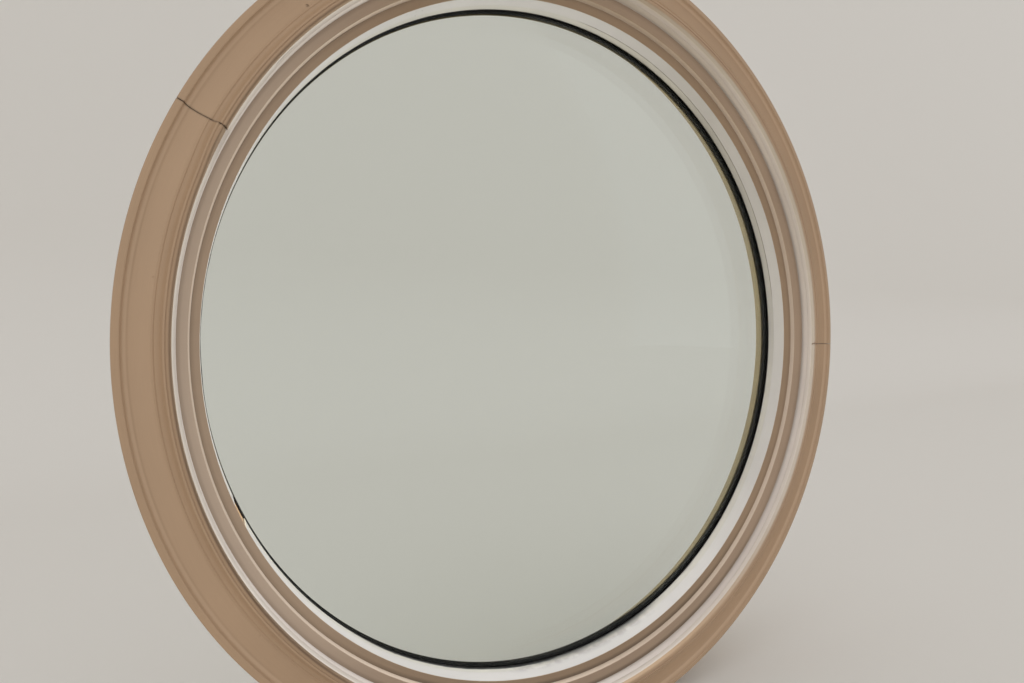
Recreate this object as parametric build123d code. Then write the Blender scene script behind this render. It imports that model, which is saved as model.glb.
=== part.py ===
from build123d import *
import os
from math import atan2, degrees, pi

# A fixed round window with a sealed glass unit, as it comes out of its wall.
# Sizes are in mm. The window's axis is Y: the room lies towards -Y, outdoors towards +Y, Z is up.
# Y = 0 is the outside face of the wall, where the nail fin lies.
# Angles are in degrees about the axis, from +X towards +Z as seen from the room.

# Daylight opening, wall and glass
daylight_r = 577.0
wall_depth = 116.0
glass_setback = 34.0
pane_thick = 3.2
air_gap = 9.5
glass_bite = 18.0
glass_edge_gap = 6.4
tape_thick = 1.0
tape_proud = 0.4
tape_inset = 5.0

# Jamb
jamb_thick = 32.0

# Stops on the room side: each depth runs outdoors from the one before it, from the wall's face on
stop_setback = 14.3
outer_stop_slope = 9.7
outer_stop_face = 8.6
outer_stop_draft = 1.5
inner_stop_slope = 8.3
inner_stop_wide = 10.7

# Thin strips inside the inner stop: their joint is measured from the glass
lining_thick = 1.5
lining_lip = 0.8
strip_joint_depth = 15.0
strip_joint_gap = 0.3
missing_at = 202.4
missing_long = 30.2
missing_slant = 6.0

# Casing: heights are measured from the wall towards the room
casing_setback = 2.8
nose_lean = 0.5
nose_round = 4.0
nose_flat = 0.5
quirk_wide = 1.2
quirk_deep = 1.8
crest_height = 15.6
crest_wide = 2.6
ogee_wide = 8.5
ogee_sag = 1.4
small_bead_wide = 3.0
small_bead_rise = 0.6
field_height = 9.3
field_wide = 26.3
field_dish = 1.8
rim_step_run = 1.9
rim_wide = 8.3
rim_thick = 16.3
rim_chamfer = 1.0
relief_deep = 2.0
relief_inner_land = 8.0
relief_outer_land = 9.0

# Joints between the two lengths of casing
right_joint_angle = -0.8
left_joint_angle = 154.4
right_joint_gap = 0.6
left_joint_gap = 1.1

# Painter's caulk in the corner of casing and jamb
caulk_up = 7.0

# Finish nails, square in section with a T head, and brads, square with no head
nail_wide = 1.6
nail_head_long = 2.9
nail_head_high = 1.2
brad_wide = 1.2

# Nails of the casing
casing_nail_edge = 7.0
casing_nail_length = 50.0
open_nail_angles = (58.2, 136.4)
upper_nail_count = 4
lower_nail_count = 5
lower_nail_inset = 18.0
nail_set_deep = 3.0
set_hole_wide = 3.3

# Brads of the stops
brad_count = 12
outer_brad_length = 32.0
inner_brad_length = 19.0

# Blocks round the edge of the glass
setting_block_length = 100.0
setting_block_angles = (240.0, 300.0)
side_block_length = 60.0
side_block_angles = (0.0, 60.0, 120.0, 180.0)

# Exterior frame
exterior_proud = 22.0
bevel_land = 2.0
bevel_flare = 31.0
bevel_lip = 1.0
exterior_chamfer = 3.0
exterior_nail_count = 12
exterior_nail_length = 57.0

# Nail fin, whose tongue is pressed into a groove behind the jamb's end
fin_thick = 1.6
fin_wide = 27.6
fin_tongue_long = 6.4
fin_tongue_gap = 0.3
fin_hole_count = 16
fin_hole_r = 2.5
fin_hole_edge = 13.0

# Radii that follow
strip_back_r = daylight_r + lining_thick
step_r = daylight_r + inner_stop_wide
glass_r = daylight_r + glass_bite
jamb_in_r = glass_r + glass_edge_gap
jamb_out_r = jamb_in_r + jamb_thick
jamb_mid_r = (jamb_in_r + jamb_out_r) / 2
casing_in_r = jamb_in_r + casing_setback
nose_r = casing_in_r + nose_lean
quirk_in_r = nose_r + nose_round + nose_flat
crest_in_r = quirk_in_r + quirk_wide
crest_out_r = crest_in_r + crest_wide
bead_in_r = crest_out_r + ogee_wide
field_in_r = bead_in_r + small_bead_wide
field_out_r = field_in_r + field_wide
rim_in_r = field_out_r + rim_step_run
casing_out_r = rim_in_r + rim_wide
casing_nail_r = jamb_out_r - casing_nail_edge
fin_out_r = jamb_out_r + fin_wide
fin_in_r = jamb_out_r - fin_tongue_long
fin_hole_pitch_r = fin_out_r - fin_hole_edge

# Places along the axis that follow
wall_room_y = -wall_depth
glass_y = -glass_setback
spacer_y = glass_y + pane_thick
outer_pane_y = spacer_y + air_gap
unit_back_y = outer_pane_y + pane_thick
frame_back_y = unit_back_y + tape_thick
stop_back_y = glass_y - tape_thick
strip_joint_y = glass_y - strip_joint_depth
outer_heel_y = wall_room_y + stop_setback
outer_nose_y = outer_heel_y + outer_stop_slope
inner_heel_y = outer_nose_y + outer_stop_face
inner_nose_y = inner_heel_y + inner_stop_slope
lining_front_y = inner_nose_y + lining_lip
outer_brad_y = (inner_heel_y + stop_back_y) / 2
inner_brad_y = (lining_front_y + stop_back_y) / 2
rim_y = wall_room_y - rim_thick
field_y = wall_room_y - field_height
crest_y = wall_room_y - crest_height


def turned(angle):
    """Turn a piece about the window's axis, from +X towards +Z."""
    return Rot(0, -angle, 0)


def arc_angle(length, radius):
    """Angle that a length covers along a circle."""
    return length / radius * 180 / pi


def ring(section, start=0.0, end=360.0):
    """Revolve a section, drawn as (radius, y), from one angle to another."""
    return turned(end) * revolve(section, Axis.Y, end - start)


def plain_section(r_in, r_out, y_low, y_high):
    """Rectangular section."""
    return make_face(Polyline((r_in, y_low), (r_out, y_low), (r_out, y_high), (r_in, y_high), close=True))


def face_of(outline):
    """Face inside a closed outline of lines and arcs."""
    return make_face(Curve() + outline)


def sagged(start, end, sag):
    """Arc whose middle lies off the straight line by a distance along the axis."""
    middle = ((start[0] + end[0]) / 2, (start[1] + end[1]) / 2 + sag)
    return ThreePointArc(start, middle, end)


def round_bar(radius, length, at_r, y_start):
    """Round bar along Y at one radius, from y_start outdoors."""
    return Pos(at_r, y_start + length / 2, 0) * Rot(-90, 0, 0) * Cylinder(radius, length)


def flat_bar(wide, long, length, at_r, y_start):
    """Bar along Y at one radius, wide along the radius and long across it, from y_start outdoors."""
    return Pos(at_r, y_start + length / 2, 0) * Box(wide, length, long)


def brad(length, r_start, y):
    """Square brad that points away from the axis."""
    return Pos(r_start + length / 2, y, 0) * Box(length, brad_wide, brad_wide)


def set_round(piece, angles):
    """Copies of one piece at several angles."""
    return [turned(angle) * piece for angle in angles]


def evenly(count, first=0.0):
    """Angles spaced evenly round the circle."""
    return [first + 360 / count * i for i in range(count)]


def casing_section():
    """Moulded section, from its relieved back over the rim, field, bead, ogee, crest and quirk to the nose."""
    relief_y = wall_room_y - relief_deep
    relief_in_r = casing_in_r + relief_inner_land
    relief_out_r = casing_out_r - relief_outer_land
    return face_of([
        Polyline((nose_r, crest_y + nose_round), (casing_in_r, wall_room_y), (relief_in_r, wall_room_y),
                 (relief_in_r, relief_y), (relief_out_r, relief_y), (relief_out_r, wall_room_y),
                 (casing_out_r, wall_room_y), (casing_out_r, rim_y + rim_chamfer),
                 (casing_out_r - rim_chamfer, rim_y), (rim_in_r, rim_y), (field_out_r, field_y)),
        sagged((field_out_r, field_y), (field_in_r, field_y), field_dish),
        sagged((field_in_r, field_y), (bead_in_r, field_y), -small_bead_rise),
        sagged((bead_in_r, field_y), (crest_out_r, crest_y), ogee_sag),
        Polyline((crest_out_r, crest_y), (crest_in_r, crest_y), (crest_in_r, crest_y + quirk_deep),
                 (quirk_in_r, crest_y + quirk_deep), (quirk_in_r, crest_y), (nose_r + nose_round, crest_y)),
        RadiusArc((nose_r + nose_round, crest_y), (nose_r, crest_y + nose_round), nose_round),
    ])


def casing_face_y(radius):
    """Y of the moulded face at a radius."""
    probe = Line((radius, rim_y - rim_thick), (radius, wall_room_y - relief_deep))
    return min(corner.Y for corner in (casing_section() & probe).vertices())


def casing_nail_angles():
    """Nails of the upper length are spaced by its two open holes, those of the lower one evenly."""
    first_open, last_open = open_nail_angles
    upper_pitch = (last_open - first_open) / 2
    upper = [last_open - upper_pitch * i for i in range(upper_nail_count)]
    lower_first = left_joint_angle + lower_nail_inset
    lower_last = 360 + right_joint_angle - lower_nail_inset
    lower_pitch = (lower_last - lower_first) / (lower_nail_count - 1)
    lower = [lower_first + lower_pitch * i for i in range(lower_nail_count)]
    return upper, lower


nail_head_y = casing_face_y(casing_nail_r) + nail_set_deep
upper_nails, lower_nails = casing_nail_angles()


def casing_nail_bore():
    """Shank of the nail, which is also the hole that it makes."""
    return flat_bar(nail_wide, nail_wide, casing_nail_length, casing_nail_r, nail_head_y)


def casing_nail():
    """Finish nail, set below the face."""
    return casing_nail_bore() + flat_bar(nail_wide, nail_head_long, nail_head_high, casing_nail_r, nail_head_y)


def nail_set_hole(y_end):
    """Hole that the nail set leaves, from y_end to beyond the face."""
    return flat_bar(set_hole_wide, set_hole_wide, rim_thick, casing_nail_r, y_end - rim_thick)


def casing_length(start, end, nail_angles):
    """One length of the casing between two joints, with its nail holes."""
    piece = ring(casing_section(), start, end)
    nail_hole = casing_nail_bore() + nail_set_hole(nail_head_y + nail_head_high)
    return piece - set_round(nail_hole, nail_angles)


def casing_upper():
    half_right = arc_angle(right_joint_gap / 2, casing_out_r)
    half_left = arc_angle(left_joint_gap / 2, casing_out_r)
    return casing_length(right_joint_angle + half_right, left_joint_angle - half_left, upper_nails)


def casing_lower():
    half_right = arc_angle(right_joint_gap / 2, casing_out_r)
    half_left = arc_angle(left_joint_gap / 2, casing_out_r)
    return casing_length(left_joint_angle + half_left, 360 + right_joint_angle - half_right, lower_nails)


def casing_nails():
    return Compound(children=set_round(casing_nail(), upper_nails + lower_nails))


def nail_fillers():
    """Filler that is level with the face, in every hole but the two open ones."""
    reach = arc_angle(set_hole_wide, casing_nail_r)
    plug = nail_set_hole(nail_head_y) & ring(casing_section(), -reach, reach)
    filled = [angle for angle in upper_nails + lower_nails if angle not in open_nail_angles]
    return Compound(children=set_round(plug, filled))


def caulk_bead():
    """Fillet in the corner between the casing's inner edge and the jamb's front edge."""
    lean = nose_lean / (crest_height - nose_round)
    return ring(make_face(Polyline(
        (casing_in_r + caulk_up * lean, wall_room_y - caulk_up),
        (casing_in_r, wall_room_y),
        (jamb_in_r, wall_room_y),
        close=True)))


def outer_brad():
    """Brad through the outer stop into the jamb."""
    return brad(outer_brad_length, step_r, outer_brad_y)


def inner_brad():
    """Brad through the inner stop into the outer one."""
    return brad(inner_brad_length, strip_back_r, inner_brad_y)


outer_brad_angles = evenly(brad_count, 360 / brad_count / 4)
inner_brad_angles = evenly(brad_count, 360 / brad_count * 3 / 4)
exterior_nail_angles = evenly(exterior_nail_count, 360 / exterior_nail_count / 2)


def outer_stop_brads():
    return Compound(children=set_round(outer_brad(), outer_brad_angles))


def inner_stop_brads():
    return Compound(children=set_round(inner_brad(), inner_brad_angles))


def exterior_nail():
    """Finish nail whose head is level with the outside face."""
    shank = flat_bar(nail_wide, nail_wide, exterior_nail_length, jamb_mid_r,
                     exterior_proud - exterior_nail_length)
    return shank + flat_bar(nail_wide, nail_head_long, nail_head_high, jamb_mid_r,
                            exterior_proud - nail_head_high)


def exterior_nails():
    return Compound(children=set_round(exterior_nail(), exterior_nail_angles))


def round_jamb():
    """Laminated ring through the wall, with the holes of every nail that ends in it."""
    piece = ring(plain_section(jamb_in_r, jamb_out_r, wall_room_y, 0))
    piece -= set_round(casing_nail_bore(), upper_nails + lower_nails)
    piece -= set_round(outer_brad(), outer_brad_angles)
    return piece - set_round(exterior_nail(), exterior_nail_angles)


def outer_stop():
    """Stop with a sloped room edge and a short drafted face."""
    section = make_face(Polyline(
        (jamb_in_r, stop_back_y),
        (jamb_in_r, outer_heel_y),
        (step_r + outer_stop_draft, outer_nose_y),
        (step_r, inner_heel_y),
        (step_r, stop_back_y),
        close=True))
    piece = ring(section)
    piece -= set_round(outer_brad(), outer_brad_angles)
    return piece - set_round(inner_brad(), inner_brad_angles)


def inner_stop():
    """Stop with a sloped room edge, rebated behind its nose for the thin strips."""
    section = make_face(Polyline(
        (step_r, stop_back_y),
        (step_r, inner_heel_y),
        (daylight_r, inner_nose_y),
        (daylight_r, lining_front_y),
        (strip_back_r, lining_front_y),
        (strip_back_r, stop_back_y),
        close=True))
    return ring(section) - set_round(inner_brad(), inner_brad_angles)


def broken_strip(y_low, y_high):
    """Thin strip round the daylight opening, with a length missing and its upper end cut at a slant."""
    half = arc_angle(missing_long / 2, daylight_r)
    strip = ring(plain_section(daylight_r, strip_back_r, y_low, y_high), missing_at + half,
                 360 + missing_at - half)
    depth = stop_back_y - lining_front_y
    slant = degrees(atan2(missing_slant, depth))
    cutter = Box(6 * lining_thick, 2 * depth, 4 * missing_slant, align=(Align.CENTER, Align.CENTER, Align.MIN))
    place = turned(missing_at - half) * Pos(daylight_r, lining_front_y, 0) * Rot(slant, 0, 0)
    return strip - place * cutter


def lining_strip():
    return broken_strip(lining_front_y, strip_joint_y - strip_joint_gap)


def glazing_strip():
    return broken_strip(strip_joint_y, stop_back_y)


def inner_glazing_tape():
    """Black tape that is squeezed out a little at the edge of the daylight opening."""
    return ring(plain_section(daylight_r - tape_proud, glass_r, stop_back_y, glass_y))


def outer_glazing_tape():
    return ring(plain_section(daylight_r + tape_inset, glass_r, unit_back_y, frame_back_y))


def pane(y_start):
    return round_bar(glass_r, pane_thick, 0, y_start)


def spacer_bar():
    """Solid foam spacer between the panes."""
    return ring(plain_section(daylight_r - tape_proud, glass_r - glass_bite / 2, spacer_y, outer_pane_y))


def edge_seal():
    return ring(plain_section(glass_r - glass_bite / 2, glass_r, spacer_y, outer_pane_y))


def edge_block(length):
    """Rubber block that fills the gap between the glass unit and the jamb."""
    half = arc_angle(length / 2, glass_r)
    return ring(plain_section(glass_r, jamb_in_r, glass_y, unit_back_y), -half, half)


def setting_blocks():
    return Compound(children=set_round(edge_block(setting_block_length), setting_block_angles))


def side_blocks():
    return Compound(children=set_round(edge_block(side_block_length), side_block_angles))


def exterior_frame():
    """Flared ring outside the glass, rebated for the fin's tongue and chamfered at its outer edge."""
    section = make_face(Polyline(
        (jamb_out_r - exterior_chamfer, exterior_proud),
        (daylight_r + bevel_flare + bevel_lip, exterior_proud),
        (daylight_r + bevel_flare, exterior_proud - bevel_lip),
        (daylight_r, frame_back_y + bevel_land),
        (daylight_r, frame_back_y),
        (jamb_in_r, frame_back_y),
        (jamb_in_r, 0),
        (fin_in_r, 0),
        (fin_in_r, fin_thick),
        (jamb_out_r, fin_thick),
        (jamb_out_r, exterior_proud - exterior_chamfer),
        close=True))
    return ring(section) - set_round(exterior_nail(), exterior_nail_angles)


def nail_fin():
    """Flange against the wall, with a nail hole at even steps and a thinner tongue at its inner edge."""
    section = make_face(Polyline(
        (fin_in_r, fin_tongue_gap),
        (jamb_out_r + fin_tongue_gap, fin_tongue_gap),
        (jamb_out_r + fin_tongue_gap, 0),
        (fin_out_r, 0),
        (fin_out_r, fin_thick),
        (fin_in_r, fin_thick),
        close=True))
    hole = round_bar(fin_hole_r, 3 * fin_thick, fin_hole_pitch_r, -fin_thick)
    return ring(section) - set_round(hole, evenly(fin_hole_count))


pieces = {
    "casing_upper": casing_upper,
    "casing_lower": casing_lower,
    "casing_nails": casing_nails,
    "nail_fillers": nail_fillers,
    "caulk_bead": caulk_bead,
    "round_jamb": round_jamb,
    "outer_stop": outer_stop,
    "outer_stop_brads": outer_stop_brads,
    "inner_stop": inner_stop,
    "inner_stop_brads": inner_stop_brads,
    "lining_strip": lining_strip,
    "glazing_strip": glazing_strip,
    "inner_glazing_tape": inner_glazing_tape,
    "inner_pane": lambda: pane(glass_y),
    "spacer_bar": spacer_bar,
    "edge_seal": edge_seal,
    "outer_pane": lambda: pane(outer_pane_y),
    "outer_glazing_tape": outer_glazing_tape,
    "setting_blocks": setting_blocks,
    "side_blocks": side_blocks,
    "exterior_frame": exterior_frame,
    "exterior_nails": exterior_nails,
    "nail_fin": nail_fin,
}

os.makedirs("parts", exist_ok=True)
for name, make in pieces.items():
    export_step(make(), f"parts/{name}.step")
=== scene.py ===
import bpy
import math
import numpy as np
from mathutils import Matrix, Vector


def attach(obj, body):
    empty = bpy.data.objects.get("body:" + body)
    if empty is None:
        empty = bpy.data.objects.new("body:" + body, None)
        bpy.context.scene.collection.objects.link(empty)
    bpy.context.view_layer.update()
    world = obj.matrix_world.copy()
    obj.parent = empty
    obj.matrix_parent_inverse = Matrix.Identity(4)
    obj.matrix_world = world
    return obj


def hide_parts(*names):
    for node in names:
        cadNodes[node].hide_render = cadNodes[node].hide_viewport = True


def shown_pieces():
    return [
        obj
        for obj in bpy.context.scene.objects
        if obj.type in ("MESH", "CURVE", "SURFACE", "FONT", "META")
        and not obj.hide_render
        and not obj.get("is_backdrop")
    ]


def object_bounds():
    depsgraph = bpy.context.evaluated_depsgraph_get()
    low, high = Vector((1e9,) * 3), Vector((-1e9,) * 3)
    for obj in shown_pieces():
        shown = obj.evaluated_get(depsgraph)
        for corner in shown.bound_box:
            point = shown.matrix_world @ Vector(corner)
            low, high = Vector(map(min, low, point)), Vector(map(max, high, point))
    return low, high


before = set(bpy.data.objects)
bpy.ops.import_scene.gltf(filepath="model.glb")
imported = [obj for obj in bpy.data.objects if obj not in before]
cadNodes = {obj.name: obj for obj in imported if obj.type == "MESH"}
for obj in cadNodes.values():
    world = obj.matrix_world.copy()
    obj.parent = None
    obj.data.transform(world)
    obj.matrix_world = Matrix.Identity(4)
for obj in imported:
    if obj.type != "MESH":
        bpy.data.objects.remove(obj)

cadLow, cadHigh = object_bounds()  # the CAD model's box, before anything is dressed
print("frame loaded:", len(cadNodes), "nodes")

# Sections are drawn in mm as (radius, y): the window's axis is Y, the casing is at its -Y end.
# Angles are in degrees from +X towards +Z, as seen from the casing's side.

seatFace = -116.0  # the casing is seated on the jamb here
glassFace = -35.0  # the stops and the strips end here, at the inner tape
jambInner, jambOuter = 601.4, 633.3
trimOuter = 660.9  # casing and nail fin, just inside the CAD box
degreesPerRadian = math.degrees(1)


# Small helpers for shapes

def ease(value, low, high):  # smooth step from 0 at low to 1 at high
    t = np.clip((np.asarray(value, float) - low) / (high - low), 0, 1)
    return t * t * (3 - 2 * t)


def hump(value, halfWidth):  # 1 at 0, smoothly 0 beyond the half width
    return ease(-np.abs(value), -halfWidth, 0)


def awayFrom(angle, centre):  # signed difference of two angles
    return (np.asarray(angle, float) - centre + 180) % 360 - 180


def waver(angle, seed, slow, fast, waves=7):  # seamless wander round the circle, about -1 to 1
    dice = np.random.default_rng(seed)
    turns = dice.integers(slow, fast + 1, waves)
    phases = dice.uniform(0, 2 * math.pi, waves)
    weights = dice.uniform(0.5, 1.0, waves)
    radians = np.radians(angle)
    total = sum(w * np.sin(n * radians + p) for n, p, w in zip(turns, phases, weights))
    return total / weights.sum() * 1.6  # the waves seldom peak together, so their sum is stretched


def waver01(angle, seed, slow, fast):  # the same wander, about 0 to 1
    return 0.5 + 0.5 * waver(angle, seed, slow, fast)


def curvePoints(start, end, sag, steps):  # shallow arc between two points, without its last point
    (r0, y0), (r1, y1) = start, end
    return [(r0 + (r1 - r0) * k, y0 + (y1 - y0) * k + 4 * sag * k * (1 - k)) for k in np.arange(steps) / steps]


def softened(corners, steps=4):  # closed outline from (radius, y, rounding) corners
    outline = []
    for i, (r, y, easing) in enumerate(corners):
        here = np.array((r, y), float)
        if easing == 0:
            outline.append(tuple(here))
            continue
        ends = []
        for other in (corners[i - 1], corners[(i + 1) % len(corners)]):
            way = np.array(other[:2], float) - here
            long = np.linalg.norm(way)
            ends.append(here + way / long * min(easing, long * 0.45))  # two curves never meet on one side
        for k in range(steps + 1):
            t = k / steps
            outline.append(tuple(ends[0] * (1 - t) ** 2 + 2 * here * t * (1 - t) + ends[1] * t ** 2))
    return outline


def columnsBetween(start, end, step=0.5, extras=()):  # angles along a ring, with finer ones where asked
    count = max(2, int(round((end - start) / step)))
    angles = list(np.linspace(start, end, count + 1)) + [a for a in extras if start < a < end]
    return np.array(sorted(set(round(float(a), 5) for a in angles)))


def roundAbout(step=0.5):  # angles for a whole ring
    return np.arange(0, 360, step)


def placed(turn, r, across, y):  # point in metres: along the radius at a turn, across it, and in depth
    return ((r * math.cos(turn) - across * math.sin(turn)) / 1000, y / 1000,
            (r * math.sin(turn) + across * math.cos(turn)) / 1000)


def makePiece(name, points, faces, sharp=32):
    mesh = bpy.data.meshes.new(name)
    mesh.from_pydata([tuple(p) for p in points], [], faces)
    mesh.validate()
    mesh.shade_smooth()
    mesh.set_sharp_from_angle(angle=math.radians(sharp))
    piece = bpy.data.objects.new(name, mesh)
    bpy.context.scene.collection.objects.link(piece)
    return piece


def sweep(name, outline, columns, whole=True, bend=None):  # section swept round the window's axis
    outline = np.array(outline, float)
    if np.sum(outline[:, 0] * np.roll(outline[:, 1], -1) - np.roll(outline[:, 0], -1) * outline[:, 1]) < 0:
        outline = outline[::-1]  # one sense for all, so that faces look outwards
    angle = np.repeat(columns[:, None], len(outline), 1)
    r = np.repeat(outline[None, :, 0], len(columns), 0)
    y = np.repeat(outline[None, :, 1], len(columns), 0)
    if bend is not None:
        r, y, angle = bend(r, y, angle)
    turn = np.radians(angle)
    points = np.stack([r * np.cos(turn), y, r * np.sin(turn)], -1).reshape(-1, 3) / 1000
    across, along = len(outline), len(columns)
    faces = []
    for i in range(along if whole else along - 1):
        j = (i + 1) % along
        for k in range(across):
            m = (k + 1) % across
            faces.append((i * across + k, i * across + m, j * across + m, j * across + k))
    if not whole:
        faces.append(tuple(range(across - 1, -1, -1)))
        faces.append(tuple((along - 1) * across + k for k in range(across)))
    return makePiece(name, points, faces)


def cutWith(piece, cutters):  # bores holes, then drops the cutters
    for cutter in cutters:
        cut = piece.modifiers.new("hole", "BOOLEAN")
        cut.operation, cut.solver, cut.object = "DIFFERENCE", "MANIFOLD", cutter
    bored = bpy.data.meshes.new_from_object(piece.evaluated_get(bpy.context.evaluated_depsgraph_get()))
    piece.modifiers.clear()
    old, piece.data = piece.data, bored
    bored.name = old.name
    bpy.data.meshes.remove(old)
    for cutter in cutters:
        spare = cutter.data
        bpy.data.objects.remove(cutter)
        bpy.data.meshes.remove(spare)


def plug(name, at, angle, radius, yLow, yHigh, sides=20, ragged=0.0, seed=1):  # stub that bores a hole
    dice = np.random.default_rng(seed)
    turn = math.radians(angle)
    middle = np.array([at * math.cos(turn), 0, at * math.sin(turn)])
    rim = radius * (1 + ragged * dice.uniform(-1, 1, sides))
    points = []
    for y in (yLow, yHigh):
        for k in range(sides):
            spin = 2 * math.pi * k / sides
            points.append((middle + [rim[k] * math.cos(spin), y, rim[k] * math.sin(spin)]) / 1000)
    faces = [(k, (k + 1) % sides, (k + 1) % sides + sides, k + sides) for k in range(sides)]
    faces += [tuple(range(sides - 1, -1, -1)), tuple(range(sides, 2 * sides))]
    return makePiece(name, points, faces)


def fitOut(piece, node, look):  # material, body and CAD node in one go
    piece.data.materials.clear()
    piece.data.materials.append(materials[look])
    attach(piece, "root")
    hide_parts(node)


def dress(node, outline, look, bend=None, columns=roundAbout(), whole=True):  # swept stand-in
    fitOut(sweep(f"{node}_dressed", outline, columns, whole, bend), node, look)


# Small helpers for materials

class Shade:  # one output in a material; an expression on outputs adds its Math nodes
    def __init__(self, recipe, socket):
        self.recipe, self.socket = recipe, socket

    def __add__(self, other): return self.recipe.maths("ADD", self, other)
    def __radd__(self, other): return self.recipe.maths("ADD", other, self)
    def __sub__(self, other): return self.recipe.maths("SUBTRACT", self, other)
    def __rsub__(self, other): return self.recipe.maths("SUBTRACT", other, self)
    def __mul__(self, other): return self.recipe.maths("MULTIPLY", self, other)
    def __rmul__(self, other): return self.recipe.maths("MULTIPLY", other, self)
    def __truediv__(self, other): return self.recipe.maths("DIVIDE", self, other)
    def __rtruediv__(self, other): return self.recipe.maths("DIVIDE", other, self)


class Recipe:  # one material and the places on the window that its masks use
    def __init__(self, name):
        self.material = bpy.data.materials.new(name)
        self.material.use_nodes = True
        self.tree = self.material.node_tree
        self.tree.nodes.clear()
        self.position = self.output(self.add("ShaderNodeNewGeometry"), "Position")
        split = self.add("ShaderNodeSeparateXYZ", {}, {0: self.position})
        self.x, y, self.z = (self.output(split, axis) for axis in "XYZ")  # metres
        self.depth = y * 1000  # mm along the window's axis
        self.radius = self.maths("SQRT", self.x * self.x + self.z * self.z) * 1000  # mm from the axis
        self.angle = self.maths("ARCTAN2", self.z, self.x) * degreesPerRadian  # -180 to 180

    def add(self, kind, settings=None, sockets=None, out=0):
        node = self.tree.nodes.new(kind)
        for key, value in (settings or {}).items():
            setattr(node, key, value)
        for key, value in (sockets or {}).items():
            if isinstance(value, Shade):
                self.tree.links.new(value.socket, node.inputs[key])
            else:
                node.inputs[key].default_value = value
        return Shade(self, node.outputs[out]) if node.outputs else None

    def output(self, shade, name):
        return Shade(self, shade.socket.node.outputs[name])

    def maths(self, operation, first, second=0.0):
        return self.add("ShaderNodeMath", {"operation": operation}, {0: first, 1: second})

    def rise(self, value, low, high):  # 0 below low, 1 above high
        return self.add("ShaderNodeMapRange", {"interpolation_type": "SMOOTHSTEP"},
                        {"Value": value, "From Min": low, "From Max": high})

    def within(self, value, low, high, soft):  # 1 between low and high
        return self.rise(value, low - soft, low + soft) * (1 - self.rise(value, high - soft, high + soft))

    def tint(self, share, plain, other):  # colour between two colours
        colours = {key: (*c, 1) if isinstance(c, tuple) else c for key, c in ((6, plain), (7, other))}
        return self.add("ShaderNodeMix", {"data_type": "RGBA"}, {0: share, **colours}, out=2)

    def stretched(self, x, y, z):  # position scaled along each axis
        return self.add("ShaderNodeVectorMath", {"operation": "MULTIPLY"}, {0: self.position, 1: (x, y, z)})

    def along(self, roundWays, across):  # long round the ring, fine across its section, with no seam
        turn = self.angle / degreesPerRadian
        return self.add("ShaderNodeCombineXYZ", {}, {
            0: self.maths("COSINE", turn) * roundWays, 1: self.maths("SINE", turn) * roundWays,
            2: (self.radius + self.depth * 0.83) * across})

    def noise(self, vector, scale=1.0, detail=3.0, rough=0.5):
        return self.add("ShaderNodeTexNoise", {},
                        {"Vector": vector, "Scale": scale, "Detail": detail, "Roughness": rough})

    def patches(self, scale, low, high, detail=3.0, rough=0.5):  # soft-edged patches of noise
        return self.rise(self.noise(self.position, scale, detail, rough), low, high)

    def wander(self, scale, wide):  # depth with its edges made uneven by some mm
        return self.depth + (self.noise(self.position, scale=scale) - 0.5) * wide

    def surface(self, colour, rough, height, strong=0.3, deep=0.0004, others=None):
        bump = self.add("ShaderNodeBump", {}, {"Height": height, "Strength": strong, "Distance": deep})
        sockets = {"Base Color": colour, "Roughness": rough, "Normal": bump, **(others or {})}
        return self.finish(self.add("ShaderNodeBsdfPrincipled", {}, sockets))

    def finish(self, shader):
        self.add("ShaderNodeOutputMaterial", {}, {"Surface": shader})
        return self.material


# Paints and bare wood. In each look, places are (low, high) for a rise and (low, high, softness) for a
# band: an R is a radius, a Y a depth, both in mm, an X or Z is in metres, and an At is in degrees.

paintKit = {"roughness": 0.42, "brushRough": 0.12, "broadRough": 0.10, "blotch": 0.05, "streak": 0.035,
            "brushBump": 0.16, "orangeBump": 0.10, "brushMarks": (11, 1.6), "broadScale": 4.5, "fineScale": 900}


def paintBase(m, colour, kit=paintKit):  # brushed satin paint: colour, gloss and height
    brush = m.noise(m.along(*kit["brushMarks"]), detail=4, rough=0.6)
    broad = m.noise(m.position, scale=kit["broadScale"], detail=2)
    fine = m.noise(m.position, scale=kit["fineScale"], detail=2)
    darker = tuple(c * (1 - kit["blotch"] - kit["streak"]) for c in colour)
    lighter = tuple(min(1, c * (1 + kit["blotch"])) for c in colour)
    share = m.rise(broad, 0.3, 0.7) * 0.6 + m.rise(brush, 0.3, 0.7) * 0.4
    rough = kit["roughness"] + (brush - 0.5) * kit["brushRough"] + (broad - 0.5) * kit["broadRough"]
    height = brush * kit["brushBump"] + fine * kit["orangeBump"]
    return m.tint(share, darker, lighter), rough, height


woodKit = {"grain": 5, "pores": 40, "poresFiner": 5, "grainShare": 0.8, "poreShare": 0.2}


def bareWood(m, pale, dark, across=2.2):  # grain that runs round the ring
    grain = m.noise(m.along(woodKit["grain"], across), detail=6, rough=0.65)
    pores = m.noise(m.along(woodKit["pores"], across * woodKit["poresFiner"]), detail=2)
    share = m.rise(grain, 0.35, 0.68) * woodKit["grainShare"] + m.rise(pores, 0.55, 0.75) * woodKit["poreShare"]
    return m.tint(share, pale, dark), grain


def leaveBare(m, bare, painted, wood, grain, woodRough=0.8, grainHigh=0.4):  # wood where no paint went
    colour, rough, height = painted
    return (m.tint(bare, colour, wood), rough * (1 - bare) + bare * woodRough,
            height + grain * bare * grainHigh)


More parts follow.
